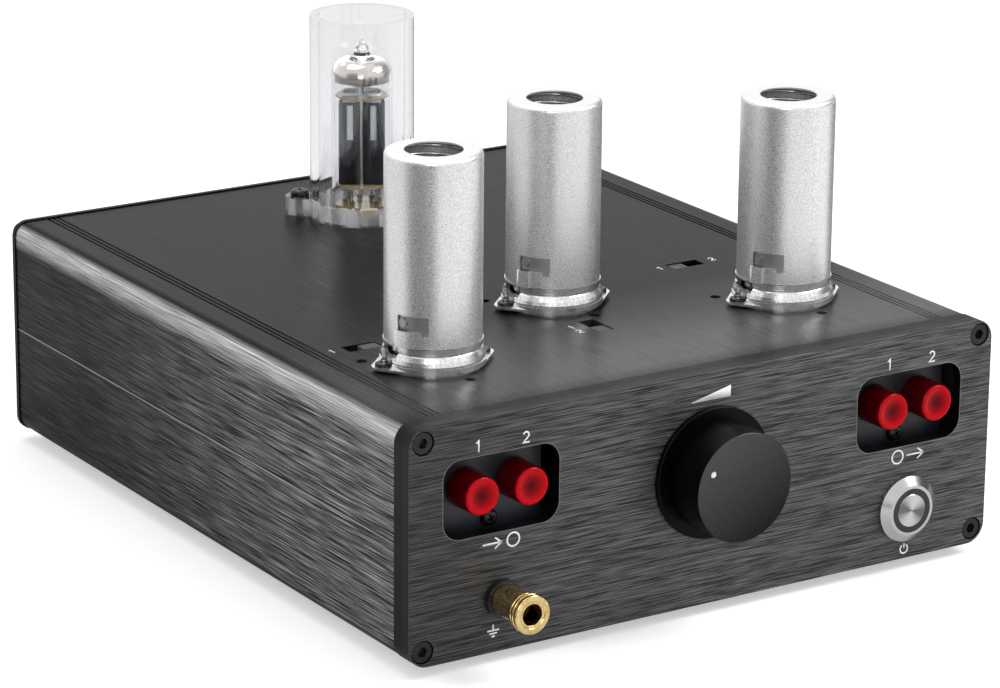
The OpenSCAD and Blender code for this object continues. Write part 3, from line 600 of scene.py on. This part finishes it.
def clear(name, tint, edge, wave, sawn=False):
    """Clear glass or acrylic: its tint goes to the edge colour where it is seen edge on, and its surface
    waves a little. A sawn piece has a frosted rim and foot."""
    finish = Finish(name)
    ripple = finish.noise(90, 90, 25, detail=1)
    # Painted shade: the tint darkens where the surface is seen edge on.
    rim = finish.between(finish.facing(), 0.72, 0.96)
    solid = finish.shader({"Base Color": finish.tones(rim, tint, edge), "Roughness": 0.0, "IOR": 1.48,
                           "Transmission Weight": 1.0, "Normal": finish.bump(ripple, wave, 0.0004)})
    if sawn:
        height = finish.above_top()
        saw = finish.between(finish.noise(340, 340, 60, detail=2), 0.38, 0.64, 0.1, 0.58)
        frosted = saw * (height < SAWN_FOOT) + (height > SAWN_RIM) * 0.55
        frost = finish.shader({"Base Color": colour("f2f4f6"), "Roughness": 0.35})
        solid = finish.node("ShaderNodeMixShader", {}, {0: frosted, 1: solid, 2: frost})
    return finish.done(finish.lit_through(solid, CLEAR_SHADE))


acrylic = clear("acrylic", "fbfbfc", "626468", 0.05, sawn=True)
glass = clear("glass", "fafcff", "707478", 0.1)
stem_glass = clear("stem_glass", "e8c890", "6a4c24", 0.4)

# %% [markdown]
# ## Red caps and getter
# The dust caps are red plastic with some light inside them: crimson round the rim, where it is thickest,
# darker in the middle and dark down the sides. Scattering under the surface could show that, but it is slow
# and noisy, so the light is painted: a painted glow round the rim, and painted shade in the middle and down
# the sides. The tone depends only on the distance from the cap's axis, which its mesh keeps in millimetres
# as a mark. The getter is a mirror of metal inside the valve's glass. It turns brown and then fades out at
# its lower edge.

# %% Red caps and getter
HEART = (0.6, 2.2)
RIM_IN, RIM_OUT = (2.2, 3.8), (4.95, 4.6)
SIDE_REACH = 4.85
red = Finish("cap_red")
cloud = red.noise(300, detail=2)
reach = red.mark("reach")
# Painted glow round the rim, and painted shade in the middle and down the sides.
rim = red.between(reach, *RIM_IN) * red.between(reach, *RIM_OUT)
shaded_heart = red.tones(red.between(reach, *HEART), "50000c", "84000a")
glow_and_shade = red.mix(reach > SIDE_REACH, red.mix(rim, shaded_heart, colour("b80814")), colour("460005"))
cap_red = red.done(red.shader({
    "Base Color": glow_and_shade, "Specular IOR Level": 0.08, "Roughness": red.spread(cloud, 0.08, 0.14),
    "Normal": red.bump(cloud, 0.1, 0.0001)}))

BROWN_BAND = (0.0395, 0.0425)
FADE_BAND = (0.0398, 0.0408)
mirror = Finish("getter")
smoke = mirror.noise(250, detail=3)
height = mirror.above_top()
getter = mirror.done(mirror.shader({
    "Base Color": mirror.tones(mirror.between(height, *BROWN_BAND), "5c4630", "c2bbb0"), "Metallic": 1.0,
    "Roughness": mirror.spread(smoke, 0.04, 0.12),
    "Alpha": mirror.between(height + smoke * 0.001, *FADE_BAND)}))

# %% [markdown]
# ## Who wears what
# Every CAD node has one slot for its material. The finishes could be given out where each is made, but one
# table shows at a glance what the real parts are made of, and whether a node was left out.

# %% Which node wears which finish
WEARS = {
    "top_shell": case_metal, "bottom_shell": case_metal, "front_bezel": edge_black,
    "front_panel": front_metal, "rear_panel": edge_black, "front_screws": black_metal,
    "rear_screws": black_metal, "rubber_feet": rubber, "main_board": board, "filter_capacitors": capacitor,
    "phono_in_block": jack_plastic, "line_out_block": jack_plastic, "jack_shells": nickel,
    "jack_screws": black_metal, "volume_knob": knob_black, "knob_grub_screw": black_metal,
    "pot_shaft": nickel, "pot_body": black_plastic, "panel_nuts": nickel, "power_switch_body": turned_steel,
    "power_light_ring": lens, "power_button": turned_steel, "earth_washer": black_plastic,
    "earth_post": old_brass, "earth_thumb_nut": gold, "power_inlet": black_plastic,
    "socket_screws": black_metal, "rectifier_socket": dark_ceramic, "rectifier_stem": stem_glass,
    "rectifier_electrodes": anode, "rectifier_micas": mica, "rectifier_bulb": glass, "tube_cover": acrylic,
    "cover_screws": black_metal, "selector_bodies": black_plastic}
NUMBERED = {
    "shield_base": collar, "valve_socket": ceramic, "valve_bulb": glass, "valve_core": anode,
    "shield_spring": spring_steel, "shield_can": drawn, "selector_slider": slider_plastic}
WEARS.update({f"{name}_{n}": finish for name, finish in NUMBERED.items() for n in (1, 2, 3)})
WEARS.update({f"dust_cap_{n}": cap_red for n in (1, 2, 3, 4)})
for name, material in WEARS.items():
    data = nodes[name].data
    data.materials.clear()
    data.materials.append(material)
print("nodes without a finish", sorted(set(nodes) - set(WEARS)))

# %% [markdown]
# ## Surfaces from arrays
# A cap, a nut and a valve's glass are all turned shapes, and a spring is a bent wire. Modelling tools could
# spin and sweep them step by step. Here each is a grid of points worked out at once: an outline of radius
# and height carried round an axis, or a circle carried along a path. The grid's neighbours make the faces.
# Points that fall together at a pole are merged, and the normals are then set to point outwards.

# %% Grids and pieces
MERGE = 0.0000005


def quads(rows, columns, round_rows=False, round_columns=False):
    """The corner numbers of the faces between the neighbours of a grid, which may close on itself either
    way."""
    index = np.arange(rows * columns).reshape(rows, columns)
    if round_columns:
        index = np.hstack([index, index[:, :1]])
    if round_rows:
        index = np.vstack([index, index[:1]])
    return np.stack([index[:-1, :-1], index[:-1, 1:], index[1:, 1:], index[1:, :-1]], -1).reshape(-1, 4)


def make(name, points, faces, seat, body, finish, stands_for=(), sharp=40, marks=None):
    """A piece from local points and faces of four corners, riding on a body in place of some CAD nodes."""
    mesh = bpy.data.meshes.new(name)
    mesh.vertices.add(len(points))
    mesh.vertices.foreach_set("co", to_frame(points, seat).astype(np.float32).ravel())
    mesh.loops.add(faces.size)
    mesh.loops.foreach_set("vertex_index", faces.astype(np.int32).ravel())
    mesh.polygons.add(len(faces))
    mesh.polygons.foreach_set("loop_start", np.arange(0, faces.size, 4, dtype=np.int32))
    mesh.update(calc_edges=True)
    for key, values in (marks or {}).items():
        kept = mesh.attributes.new(key, "FLOAT", "POINT")
        kept.data.foreach_set("value", values.astype(np.float32).ravel())
    work = bmesh.new()
    work.from_mesh(mesh)
    bmesh.ops.remove_doubles(work, verts=work.verts, dist=MERGE)
    bmesh.ops.recalc_face_normals(work, faces=work.faces)
    work.to_mesh(mesh)
    work.free()
    mesh.polygons.foreach_set("use_smooth", np.ones(len(mesh.polygons), bool))
    mesh.set_sharp_from_angle(angle=math.radians(sharp))
    mesh.materials.append(finish)
    piece = bpy.data.objects.new(name, mesh)
    scene.collection.objects.link(piece)
    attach(piece, body)
    if stands_for:
        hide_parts(*stands_for)
    print("piece", name, "of", len(mesh.polygons), "faces on", body)
    return piece


print("faces of a 3 by 4 grid", len(quads(3, 4)))

# %% Turned outlines


def eased(corners, steps=7):
    """An outline of (radius, height, round) corners with each corner C eased: (1-t)^2 A + 2t(1-t) C + t^2 B
    runs from the point A before the corner to the point B after it, both the round's size away from C."""
    spots = np.array([corner[:2] for corner in corners], float)
    t = np.linspace(0, 1, steps)[:, None]
    line = []
    for i, corner in enumerate(corners):
        here = spots[i]
        if len(corner) < 3:
            line.append(here[None])
            continue
        before, after = spots[i - 1] - here, spots[(i + 1) % len(spots)] - here
        a = here + before / np.linalg.norm(before) * corner[2]
        b = here + after / np.linalg.norm(after) * corner[2]
        line.append((1 - t) ** 2 * a + 2 * t * (1 - t) * here + t ** 2 * b)
    return np.vstack(line)


def turned(name, corners, seat, body, finish, stands_for=(), ring=False, steps=96, sharp=40):
    """A turned piece: the outline's point (r, h) at angle a is (r cos a, r sin a, h). A ring's outline
    closes on itself, and a solid's outline starts and ends on the axis. The mark reach is r."""
    line = eased(corners)
    angle = np.linspace(0, 2 * math.pi, steps, endpoint=False)
    r, h = line[:, :1], line[:, 1:]
    points = np.stack([r * np.cos(angle), r * np.sin(angle), h + 0 * angle], -1)
    return make(name, points.reshape(-1, 3), quads(len(line), steps, ring, True), seat, body, finish,
                stands_for, sharp, {"reach": np.broadcast_to(r, (len(line), steps))})


print("points of a rounded corner", len(eased([(0, 0), (1, 0, 0.2), (1, 1)])) - 2)

# %% [markdown]
# ## Shield springs
# Each shield has a conical spring of round wire that presses its valve down into the socket. It hangs under
# the can's mouth, where its top turn shines. A curve with a round bevel would look the same. As an array
# the wire has just the faces that it needs, with closed tips, and its radius and height grow evenly with
# its angle.

# %% Springs
VALVES = [(-56.2, 43.7), (-1.3, 72.3), (53.6, 43.7)]
TURNS = 3.5
WIRE_RADIUS = 0.4
FOOT_RADIUS, FOOT_HEIGHT = 6, 48.6
WIDER, HIGHER = 4.37, 6.7


def wire(name, path, radius, seat, body, finish, stands_for=(), closed=False, sides=12):
    """A round wire: with d the way along the path, a = d x Z and b = a x d, the ring at each point of the
    path is path + r (a cos t + b sin t)."""
    ahead = np.roll(path, -1, 0) - np.roll(path, 1, 0) if closed else np.gradient(path, axis=0)
    d = ahead / np.linalg.norm(ahead, axis=1, keepdims=True)
    a = np.cross(d, (0, 0, 1))
    a /= np.linalg.norm(a, axis=1, keepdims=True)
    t = np.linspace(0, 2 * math.pi, sides, endpoint=False)[:, None]
    rings = path[:, None] + radius * (np.cos(t) * a[:, None] + np.sin(t) * np.cross(a, d)[:, None])
    if not closed:
        tips = [np.repeat(path[i][None, None], sides, 1) for i in (0, -1)]
        rings = np.concatenate([tips[0], rings, tips[1]])
    return make(name, rings.reshape(-1, 3), quads(len(rings), sides, closed, True), seat, body, finish,
                stands_for)


t = np.linspace(0, 1, 260)[:, None]
angle = 2 * math.pi * TURNS * t
radius = FOOT_RADIUS + WIDER * t
coil = np.hstack([radius * np.cos(angle), radius * np.sin(angle), FOOT_HEIGHT + HIGHER * t])
for n, place in enumerate(VALVES, 1):
    wire(f"conical_spring_{n}", coil, WIRE_RADIUS, on_top(*place), f"shield_turn_{n}", spring_steel,
         [f"shield_spring_{n}"])

# %% [markdown]
# ## Dust caps
# A red cap is moulded with a dished face, a rounded rim and sides that widen to the open end. A cylinder
# with bevels and subdivision would come close. An outline of ten corners, most of them eased, gives the
# dish, the rim and the flare in one, and a wall inside that fits over the jack.

# %% Dust caps
JACKS = [(side * WINDOW_X + s * 7.2, 11.5) for side in (-1, 1) for s in (-1, 1)]
CAP = [(0, 2.05), (1.2, 2.08, 0.6), (3.2, 2.45, 0.7), (3.9, 2.8, 0.35), (4.5, 2.8, 0.45), (4.95, 2.3, 0.5),
       (5.25, -6, 0.25), (4.21, -6), (4.21, 1.6, 0.3), (0, 1.6)]
for n, jack in enumerate(JACKS, 1):
    turned(f"red_cap_{n}", CAP, on_front(*jack), f"dust_cap_{n}_body", cap_red, [f"dust_cap_{n}"])

# %% [markdown]
# ## Earth nut and pointer dot
# The thumb nut is turned brass: a plain barrel, then three bands with grooves between them and an eased lip
# round the bore. The knob's pointer is a drop of white paint in a shallow pit. A bevel would round all
# edges alike, so each corner of the two outlines has its own round.

# %% Nut and dot
POST = (-63.2, -17)
NUT = [(2.76, 2.1), (4.2, 2.1, 0.3), (4.2, 10.6), (4.85, 10.6, 0.3), (4.85, 11.8, 0.4), (4.1, 11.8),
       (4.1, 12.2), (5.1, 12.2, 0.4), (5.1, 13.2, 0.35), (4.4, 13.2), (4.4, 13.6), (5.1, 13.6, 0.4),
       (5.1, 14.7, 0.5), (3.6, 14.7, 0.2), (3.4, 14.45, 0.15), (2.76, 14.45, 0.3)]
turned("thumb_nut", NUT, on_front(*POST), "earth_nut", gold, ["earth_thumb_nut"],
       ring=True, sharp=50)
DOT = [(0, 14.7), (0.5, 14.68, 0.2), (0.93, 14.52, 0.15), (0.93, 14.41), (0, 14.41)]
DOT_PLACE = (KNOB[0] - 9.64, KNOB[1] + 5.15)
turned("pointer_dot", DOT, on_front(*DOT_PLACE), "volume_control", ink, steps=32)

# %% [markdown]
# ## Rectifier glass and getter
# The envelope is blown glass drawn to a sealed tip, and its wall is closed at the foot. Inside its shoulder
# is the getter: a mirror of metal that was fired onto the glass from a small ring. It could be a second
# finish on the glass, but a thin shell of its own keeps the glass clear in front of it.

# %% Rectifier glass and getter
RECTIFIER = (0, 173.3)
VALVE_TURN = -32.5
RING_RADIUS, RING_HEIGHT = 2.6, 38.4
valve = on_top(*RECTIFIER, VALVE_TURN)
ENVELOPE = [(0, 51.6), (0.3, 51.55, 0.1), (0.65, 50.6, 0.4), (1.9, 49.2, 0.8), (2.1, 47.4, 0.7),
            (3.1, 46.5, 0.7), (8.65, 45.8, 4.7), (8.65, 2.4, 0.2), (7.85, 2.4), (7.85, 45.0, 4.1), (0, 45.6)]
turned("blown_envelope", ENVELOPE, valve, "rectifier_valve", glass, ["rectifier_bulb"], steps=128)
GETTER = [(0, 45.55), (7.8, 44.9, 4.1), (7.8, 39.6), (7.7, 39.6), (7.7, 44.8, 4.1), (0, 45.4)]
turned("getter_mirror", GETTER, valve, "rectifier_valve", getter, steps=128)
around = np.linspace(0, 2 * math.pi, 64, endpoint=False)
loop = np.stack([RING_RADIUS * np.cos(around), RING_RADIUS * np.sin(around), RING_HEIGHT + 0 * around], 1)
wire("getter_ring", loop, WIRE_RADIUS, valve, "rectifier_valve", nickel, closed=True)

# %% [markdown]
# ## Rectifier electrodes
# Two folded anodes of dark sheet hang side by side, with a slot in each, and the white coat of the cathode
# shows through it. A cube could be cut and bevelled to make one. Instead the rounded outline stands on a
# few levels, the faces of the slot are left out, and Solidify gives the sheet its thickness.

# %% Anodes and cathodes
FOLD = 1.9
ANODE_LEVELS = (10.1, 23, 33.1, 33.9)
CATHODE_LEVELS = (9.9, 20, 30, 36.4)


def folded_sheet(name, middle, half, slot_width, levels, thickness, finish):
    """A folded sheet: the rounded outline of half sizes (a, b) stands from the lowest level to the highest,
    and between the two middle levels it is open over the slot's width, front and back."""
    a, b = half
    w = slot_width / 2
    line = eased([(-a, -b, FOLD), (-w, -b), (w, -b), (a, -b, FOLD),
                  (a, b, FOLD), (w, b), (-w, b), (-a, b, FOLD)])
    columns = len(line)
    in_slot = np.abs(line[:, 0]) < w + 0.001
    flat = np.broadcast_to(line + middle, (len(levels), columns, 2))
    points = np.concatenate([flat, np.repeat(np.array(levels, float), columns).reshape(-1, columns, 1)], -1)
    faces = quads(len(levels), columns, round_columns=True).reshape(-1, columns, 4)
    keep = np.ones(faces.shape[:2], bool)
    keep[1] = ~(in_slot & np.roll(in_slot, -1))
    piece = make(name, points.reshape(-1, 3), faces[keep], valve, "rectifier_valve", finish)
    solid = piece.modifiers.new("sheet", "SOLIDIFY")
    solid.thickness = thickness * MM


for n, x in enumerate((-3.2, 3.2), 1):
    folded_sheet(f"anode_{n}", (x, 0), (3.15, 4), 1.7, ANODE_LEVELS, 0.25, anode)
    folded_sheet(f"cathode_{n}", (x, 0), (2.2, 3.4), 0.0, CATHODE_LEVELS, 0.2, white_coat)

# %% [markdown]
# ## Rods, pins and micas
# Two nickel rods carry the anodes, and seven pins pass through the glass foot. Each could be its own
# object, but they move as one, so one piece repeats a turned outline at several places. Above and below,
# thin mica plates with a scalloped edge hold everything in line: their radius is a function of the angle.

# %% Rods and pins
PIN_CIRCLE = 4.76
PIN_STEP = 45


def rods(name, places, radius, low, high, seat, stands_for=(), sides=16):
    """Round nickel rods as one piece: the outline (0, low) (r, low) (r, high) (0, high) is turned once and
    moved to each place."""
    outline = np.array([(0, low), (radius, low), (radius, high), (0, high)], float)
    angle = np.linspace(0, 2 * math.pi, sides, endpoint=False)
    one = np.stack([outline[:, :1] * np.cos(angle), outline[:, :1] * np.sin(angle),
                    outline[:, 1:] + 0 * angle], -1).reshape(-1, 3)
    spots = np.hstack([np.asarray(places, float), np.zeros((len(places), 1))])
    points = (one[None] + spots[:, None]).reshape(-1, 3)
    faces = quads(4, sides, round_columns=True)[None] + np.arange(len(places))[:, None, None] * len(one)
    make(name, points, faces.reshape(-1, 4), seat, "rectifier_valve", nickel, stands_for)


rods("support_rods", [(0, -4.3), (0, 4.3)], 0.42, 7.2, 37.2, valve)
ring = np.radians(PIN_STEP / 2 + PIN_STEP * np.arange(7))
rods("valve_pins", np.stack([PIN_CIRCLE * np.sin(ring), -PIN_CIRCLE * np.cos(ring)], 1), 0.5, -4.1, 8.9,
     on_top(*RECTIFIER), ["rectifier_electrodes"])

# %% Micas
MICA_RADIUS, SCALLOP, SCALLOPS = 7.45, 0.3, 14
MICA_LEVELS = (9.3, 35.2)
MICA_THICKNESS = 0.5
around = np.linspace(0, 2 * math.pi, 192, endpoint=False)
edge = MICA_RADIUS - SCALLOP * (0.5 + 0.5 * np.cos(SCALLOPS * around)) ** 3
reach = np.stack([0 * edge, edge, edge, 0 * edge])
for n, low in enumerate(MICA_LEVELS, 1):
    level = np.array([low, low, low + MICA_THICKNESS, low + MICA_THICKNESS])[:, None] + 0 * around
    disc = np.stack([reach * np.cos(around), reach * np.sin(around), level], -1)
    make(f"mica_{n}", disc.reshape(-1, 3), quads(4, 192, round_columns=True), valve, "rectifier_valve",
         mica, ["rectifier_micas"])

# %% [markdown]
# ## Printing on the plate
# Plain marks are screened in white: a number over each jack, an arrow into a ring or out of it for the
# signal's way, a wedge for the volume, and the usual signs for earth and for power. Text objects could give
# the numbers, but not the signs. Drawn as strokes they all match: a mark is a flat band carried along a
# line of points, half a width to each side, with a mitre where the line turns.

# %% Bands and arcs


def band(line, width):
    """A flat band: each point of the line gives two, half a width away along the mitre of its two
    neighbours."""
    p = np.asarray(line, float)
    steps = np.diff(p, axis=0)
    steps /= np.linalg.norm(steps, axis=1, keepdims=True)
    whole = np.allclose(p[0], p[-1])
    before = np.vstack([steps[-1:] if whole else steps[:1], steps])
    after = np.vstack([steps, steps[:1] if whole else steps[-1:]])
    normal = np.stack([-before[:, 1], before[:, 0]], 1)
    across = np.stack([-(before + after)[:, 1], (before + after)[:, 0]], 1)
    across /= np.linalg.norm(across, axis=1, keepdims=True)
    across /= np.maximum((across * normal).sum(1, keepdims=True), 0.5)
    return np.stack([p - across * width / 2, p + across * width / 2], 1)


def arc(x, y, radius, start, end, count=24):
    """Points on a circle from one angle to another, in degrees."""
    a = np.radians(np.linspace(start, end, count))
    return np.stack([x + radius * np.cos(a), y + radius * np.sin(a)], 1)


print("points of a ring's band", len(band(arc(0, 0, 1, 0, 360), 0.1)))

# %% Marks
PRINT_HEIGHT = 0.02
INK_THICKNESS = 0.00002
ONE = [[(-0.2, 0.3), (0.06, 0.5), (0.06, -0.5)]]
TWO = [np.vstack([arc(0, 0.22, 0.27, 165, -35, 14), [(-0.3, -0.45), (0.34, -0.45)]])]
INWARD = [[(-2, 0), (-0.1, 0)], [(-0.75, 0.5), (-0.1, 0), (-0.75, -0.5)], arc(1.1, 0, 0.62, 0, 360)]
OUTWARD = [arc(-1.1, 0, 0.62, 0, 360), [(-0.1, 0), (1.8, 0)], [(1.15, 0.5), (1.8, 0), (1.15, -0.5)]]
EARTH = [[(0, 0.5), (0, 0)], [(-0.55, 0), (0.55, 0)], [(-0.35, -0.25), (0.35, -0.25)],
         [(-0.15, -0.5), (0.15, -0.5)]]
POWER = [arc(0, -0.06, 0.42, 60, -240), [(0, 0.5), (0, 0.02)]]
WEDGE = [np.array([[(-2, -0.5), (-2, -0.44)], [(2, -0.5), (2, 0.5)]], float)]


def marks(name, drawings, seat, width):
    """All the marks on one face as one piece: each drawing is (lines, x, y, size) in millimetres of that
    face. A line that already has two sides, such as the wedge, is taken as it is."""
    points, faces, count = [], [], 0
    for lines, x, y, size in drawings:
        for line in lines:
            strip = line * size if np.ndim(line) == 3 else band(np.asarray(line) * size, width)
            flat = strip.reshape(-1, 2) + (x, y)
            points.append(np.hstack([flat, np.full((len(flat), 1), PRINT_HEIGHT)]))
            faces.append(quads(len(strip), 2) + count)
            count += len(flat)
    piece = make(name, np.vstack(points), np.vstack(faces), seat, "root", ink)
    piece.modifiers.new("ink", "SOLIDIFY").thickness = INK_THICKNESS


front_marks = [(ONE, -70.2, 23.6, 2.9), (TWO, -56.2, 23.6, 2.9), (ONE, 56.2, 23.6, 2.9),
               (TWO, 70.2, 23.6, 2.9), (INWARD, -62.9, -2.4, 2.9), (OUTWARD, 63.2, -2.4, 2.9),
               (WEDGE, -0.5, 25.3, 3), (EARTH, -65.4, -25.4, 3.2), (POWER, 63.3, -28.4, 2.9)]
marks("front_marks", front_marks, on_front(0, 0), 0.45)
top_marks = [(ONE, -73.2, 65.3, 2.4), (ONE, -9.2, 51, 2.4), (TWO, -9.2, 47.2, 2.4), (ONE, 41.5, 83.8, 2.4),
             (TWO, 59, 84.1, 2.4)]
marks("top_marks", top_marks, on_top(0, 0), 0.36)
